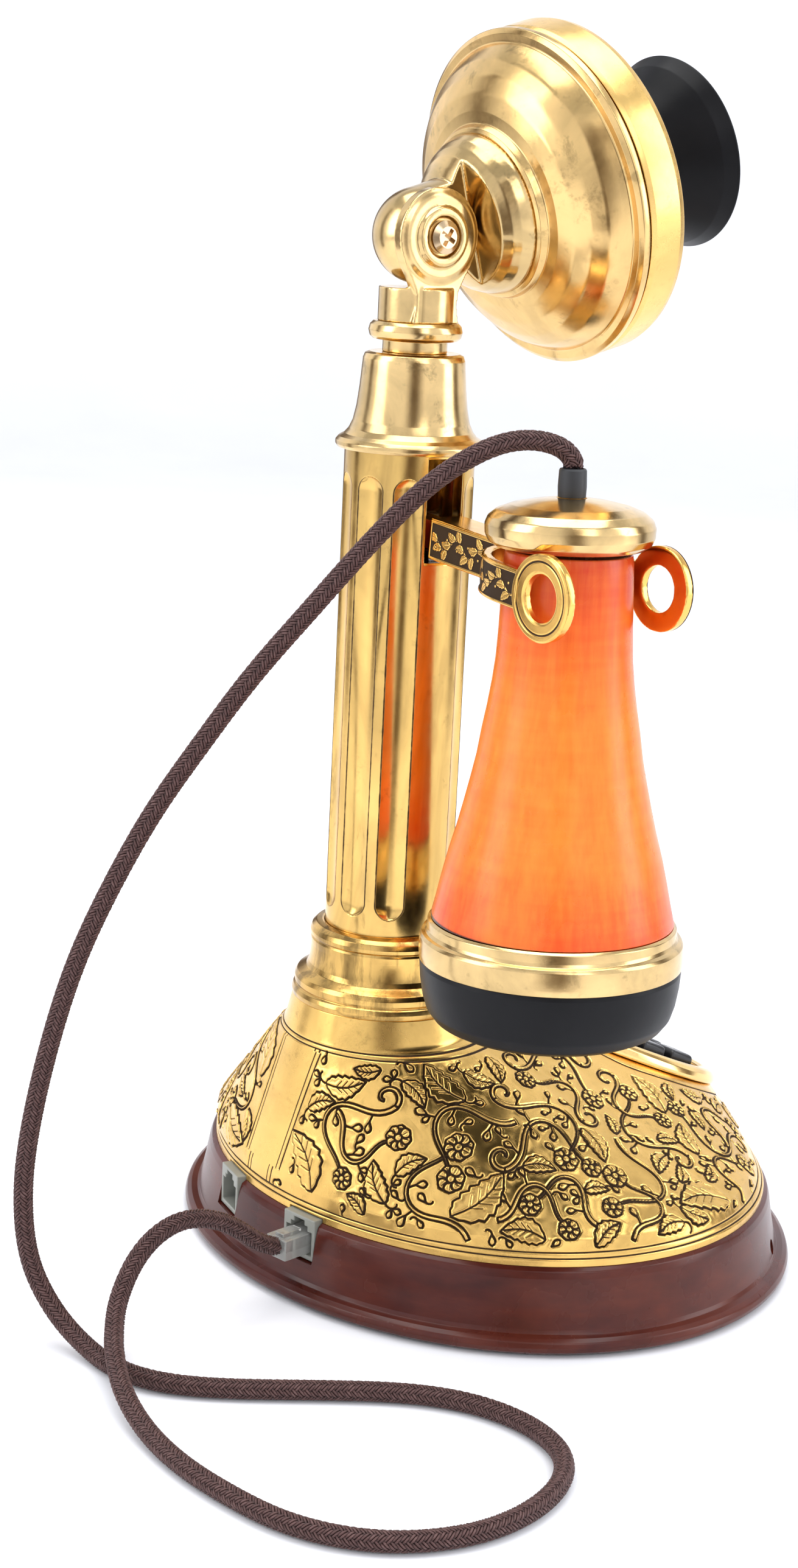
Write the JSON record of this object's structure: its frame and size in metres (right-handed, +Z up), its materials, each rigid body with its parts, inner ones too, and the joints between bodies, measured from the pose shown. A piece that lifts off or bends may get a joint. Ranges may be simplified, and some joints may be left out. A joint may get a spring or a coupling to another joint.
{
  "type": "candlestick telephone",
  "caption": "Upright candlestick telephone: oval plinth, fluted brass column, tilting transmitter, hook-held bell receiver and sloping keypad.",
  "frame": {"origin": "centre of the oval felt face that the telephone stands on", "axes": "+Z up the column, -Y towards the front (the way the mouthpiece points), -X towards the receiver and its hook"},
  "size_m": [0.2435, 0.243, 0.342],
  "materials": {
    "plinth_wood": "glossy red-brown lacquered wood",
    "steel_plate": "black painted sheet steel",
    "felt": "dark green felt",
    "screw_steel": "zinc-plated steel",
    "ballast_iron": "grey cast iron",
    "embossed_brass": "polished brass with dark lines round floral relief",
    "column_brass": "polished brass, a little tarnished",
    "cast_brass": "pale polished brass",
    "bell_brass": "polished brass with fine pits",
    "face_brass": "polished brass",
    "bezel_brass": "polished brass",
    "hook_brass": "polished brass, antiqued in the recesses",
    "knuckle_screw": "bright plated steel",
    "black_plastic": "satin black plastic",
    "key_plastic": "satin black plastic",
    "capsule": "dull aluminium",
    "rubber_mat": "grey silicone rubber",
    "circuit_board": "green solder-masked board",
    "ringer_plastic": "black plastic",
    "jack_plastic": "pale grey plastic",
    "contact_gold": "gold-plated spring wire",
    "pin_steel": "ground steel",
    "spring_steel": "blued spring steel",
    "switch_plastic": "black plastic",
    "plunger_plastic": "red plastic",
    "wire_cover": "dark sleeved wires",
    "handle_wood": "amber-orange lacquered wood",
    "relief_rubber": "charcoal rubber",
    "braid": "brown braided textile",
    "plug_plastic": "smoky clear plastic"
  },
  "bodies": {
    "phone": {"plinth": "plinth_wood", "bottom_plate": "steel_plate", "base_felt": "felt", "plate_screws": "screw_steel", "ballast": "ballast_iron", "base_shell": "embossed_brass", "shell_screws": "screw_steel", "collar": "column_brass", "column": "column_brass", "column_cap": "cast_brass", "neck_ring": "cast_brass", "knuckle_fork": "cast_brass", "knuckle_screw": "knuckle_screw", "knuckle_nut": "cast_brass", "keypad_bezel": "bezel_brass", "keypad_plate": "black_plastic", "key_mat": "rubber_mat", "keypad_board": "circuit_board", "main_board": "circuit_board", "ringer": "ringer_plastic", "line_jack": "jack_plastic", "handset_jack": "jack_plastic", "jack_contacts": "contact_gold", "hook_pin": "pin_steel", "hook_spring": "spring_steel", "hook_switch": "switch_plastic", "column_wires": "wire_cover", "cord": "braid", "plug": "plug_plastic"},
    "transmitter": {"transmitter_lug": "cast_brass", "transmitter_bell": "bell_brass", "face_ring": "face_brass", "mouthpiece": "black_plastic", "microphone": "capsule"},
    "receiver": {"receiver_cap": "cast_brass", "receiver_handle": "handle_wood", "receiver_ring": "cast_brass", "ear_cap": "black_plastic", "earphone": "capsule", "strain_relief": "relief_rubber"},
    "hook": {"hook_lever": "hook_brass"},
    "plunger": {"switch_plunger": "plunger_plastic"},
    "key_1_body": {"key_1": "key_plastic"},
    "key_2_body": {"key_2": "key_plastic"},
    "key_3_body": {"key_3": "key_plastic"},
    "key_4_body": {"key_4": "key_plastic"},
    "key_5_body": {"key_5": "key_plastic"},
    "key_6_body": {"key_6": "key_plastic"},
    "key_7_body": {"key_7": "key_plastic"},
    "key_8_body": {"key_8": "key_plastic"},
    "key_9_body": {"key_9": "key_plastic"},
    "key_star_body": {"key_star": "key_plastic"},
    "key_0_body": {"key_0": "key_plastic"},
    "key_hash_body": {"key_hash": "key_plastic"}
  },
  "joints": [
    {"name": "transmitter_tilt", "type": "hinge", "parent": "phone", "child": "transmitter", "pos_m": [0, 0.04, 0.285], "axis": [1, 0, 0], "range_deg": [-20, 14]},
    {"name": "receiver_lift", "type": "slide", "parent": "phone", "child": "receiver", "axis": [-0.8, 0, 0.6], "range_m": [0, 0.06], "deforming": ["cord"]},
    {"name": "hook_lift", "type": "hinge", "parent": "phone", "child": "hook", "pos_m": [0.006, 0.04, 0.2096], "axis": [0, 1, 0], "range_deg": [0, 8], "deforming": ["hook_spring"]},
    {"name": "plunger_press", "type": "slide", "parent": "phone", "child": "plunger", "axis": [0, 0, -1], "range_m": [0, 0.0009]},
    {"name": "key_1_press", "type": "slide", "parent": "phone", "child": "key_1_body", "axis": [0, 0.3907, -0.9205], "range_m": [0, 0.0012], "stiffness_N_per_m": 300, "springref_m": -0.0005},
    {"name": "key_2_press", "type": "slide", "parent": "phone", "child": "key_2_body", "axis": [0, 0.3907, -0.9205], "range_m": [0, 0.0012], "stiffness_N_per_m": 300, "springref_m": -0.0005},
    {"name": "key_3_press", "type": "slide", "parent": "phone", "child": "key_3_body", "axis": [0, 0.3907, -0.9205], "range_m": [0, 0.0012], "stiffness_N_per_m": 300, "springref_m": -0.0005},
    {"name": "key_4_press", "type": "slide", "parent": "phone", "child": "key_4_body", "axis": [0, 0.3907, -0.9205], "range_m": [0, 0.0012], "stiffness_N_per_m": 300, "springref_m": -0.0005},
    {"name": "key_5_press", "type": "slide", "parent": "phone", "child": "key_5_body", "axis": [0, 0.3907, -0.9205], "range_m": [0, 0.0012], "stiffness_N_per_m": 300, "springref_m": -0.0005},
    {"name": "key_6_press", "type": "slide", "parent": "phone", "child": "key_6_body", "axis": [0, 0.3907, -0.9205], "range_m": [0, 0.0012], "stiffness_N_per_m": 300, "springref_m": -0.0005},
    {"name": "key_7_press", "type": "slide", "parent": "phone", "child": "key_7_body", "axis": [0, 0.3907, -0.9205], "range_m": [0, 0.0012], "stiffness_N_per_m": 300, "springref_m": -0.0005},
    {"name": "key_8_press", "type": "slide", "parent": "phone", "child": "key_8_body", "axis": [0, 0.3907, -0.9205], "range_m": [0, 0.0012], "stiffness_N_per_m": 300, "springref_m": -0.0005},
    {"name": "key_9_press", "type": "slide", "parent": "phone", "child": "key_9_body", "axis": [0, 0.3907, -0.9205], "range_m": [0, 0.0012], "stiffness_N_per_m": 300, "springref_m": -0.0005},
    {"name": "key_star_press", "type": "slide", "parent": "phone", "child": "key_star_body", "axis": [0, 0.3907, -0.9205], "range_m": [0, 0.0012], "stiffness_N_per_m": 300, "springref_m": -0.0005},
    {"name": "key_0_press", "type": "slide", "parent": "phone", "child": "key_0_body", "axis": [0, 0.3907, -0.9205], "range_m": [0, 0.0012], "stiffness_N_per_m": 300, "springref_m": -0.0005},
    {"name": "key_hash_press", "type": "slide", "parent": "phone", "child": "key_hash_body", "axis": [0, 0.3907, -0.9205], "range_m": [0, 0.0012], "stiffness_N_per_m": 300, "springref_m": -0.0005}
  ],
  "couplings": [
    {"joint": "hook_lift", "follows": "receiver_lift", "rad_per_m": 2.327},
    {"joint": "plunger_press", "follows": "receiver_lift", "ratio": 0.015}
  ]
}
